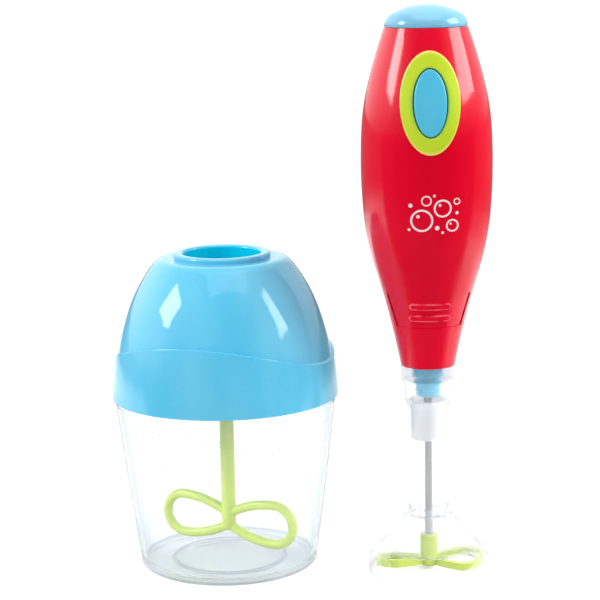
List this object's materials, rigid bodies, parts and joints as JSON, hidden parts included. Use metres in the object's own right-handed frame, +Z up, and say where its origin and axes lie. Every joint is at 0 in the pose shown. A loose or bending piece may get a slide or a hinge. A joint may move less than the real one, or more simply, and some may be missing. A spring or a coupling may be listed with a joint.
{
  "type": "toy stick blender set",
  "caption": "Toy stick blender standing on a clear wand with a bell guard, beside a clear jar with a domed lid and a hanging stirrer.",
  "frame": {"origin": "centre of the jar's foot, on the table", "axes": "+Z up; -Y is the front, where the handle's switch faces; +X runs from the jar to the blender"},
  "size_m": [0.1731, 0.104, 0.256],
  "materials": {
    "clear_plastic": "clear gloss moulding",
    "frosted_plastic": "frosted translucent moulding",
    "blue_plastic": "gloss",
    "red_plastic": "gloss",
    "lime_plastic": "gloss",
    "pale_lime_plastic": "gloss, slightly translucent",
    "white_plastic": "matte, self-lubricating",
    "black_plastic": "matte",
    "steel": "bright drawn steel",
    "motor_steel": "plated can",
    "plated_strip": "stamped contact strip",
    "cell_sleeve": "plain shrink sleeve"
  },
  "bodies": {
    "jar": {"jar": "clear_plastic"},
    "lid": {"lid": "blue_plastic"},
    "stirrer": {"stirrer": "pale_lime_plastic", "stirrer_coupling": "white_plastic", "stirrer_clip": "white_plastic"},
    "wand": {"wand_tube": "clear_plastic", "blade_guard": "clear_plastic", "coupling_bush": "frosted_plastic"},
    "blade_drive": {"blade_shaft": "steel", "shaft_ferrule": "steel", "shaft_coupling": "frosted_plastic", "blade": "pale_lime_plastic"},
    "handle": {"housing_front": "red_plastic", "housing_rear": "red_plastic", "housing_screws": "steel", "top_cap": "blue_plastic", "switch_bezel": "lime_plastic", "switch_carrier": "black_plastic", "button_spring": "steel", "switch_leaf_moving": "plated_strip", "switch_leaf_fixed": "plated_strip", "coupling_nose": "blue_plastic", "motor_can": "motor_steel", "motor_end_cap": "black_plastic", "gearbox_plate": "white_plastic", "gearbox_cover": "white_plastic", "gearbox_screws": "steel", "battery_tray": "black_plastic", "aa_cell_left": "cell_sleeve", "aa_cell_right": "cell_sleeve", "lower_contacts": "plated_strip", "upper_contact": "plated_strip"},
    "button": {"switch_button": "blue_plastic"},
    "door": {"battery_door": "red_plastic", "door_screw": "steel"},
    "spindle": {"output_spindle": "steel", "drive_gear": "white_plastic"},
    "rotor": {"motor_shaft": "steel", "motor_pinion": "white_plastic"}
  },
  "joints": [
    {"name": "lid_lift", "type": "slide", "parent": "jar", "child": "lid", "axis": [0, 0, 1], "range_m": [0, 0.09]},
    {"name": "stirrer_spin", "type": "hinge", "parent": "lid", "child": "stirrer", "pos_m": [0, 0, 0.0901], "axis": [0, 0, 1], "continuous": true},
    {"name": "blender_lift", "type": "slide", "parent": "jar", "child": "wand", "axis": [0, 0, 1], "range_m": [0, 0.1]},
    {"name": "blade_spin", "type": "hinge", "parent": "wand", "child": "blade_drive", "pos_m": [0.092, -0.018, 0.0165], "axis": [0, 0, 1], "continuous": true},
    {"name": "handle_pull_off", "type": "slide", "parent": "wand", "child": "handle", "axis": [0, 0, 1], "range_m": [0, 0.03]},
    {"name": "button_press", "type": "slide", "parent": "handle", "child": "button", "axis": [0, 1, 0], "range_m": [0, 0.0018], "stiffness_N_per_m": 400, "springref_m": -0.001, "deforming": ["button_spring", "switch_leaf_moving"]},
    {"name": "battery_door_pull", "type": "slide", "parent": "handle", "child": "door", "axis": [0, 1, 0], "range_m": [0, 0.03]},
    {"name": "spindle_spin", "type": "hinge", "parent": "handle", "child": "spindle", "pos_m": [0.092, -0.018, 0.1], "axis": [0, 0, 1], "continuous": true},
    {"name": "rotor_spin", "type": "hinge", "parent": "handle", "child": "rotor", "pos_m": [0.092, -0.02706, 0.14], "axis": [0, 0, 1], "continuous": true}
  ],
  "couplings": [
    {"joint": "spindle_spin", "follows": "blade_spin", "ratio": 1},
    {"joint": "rotor_spin", "follows": "blade_spin", "ratio": -2.6}
  ]
}
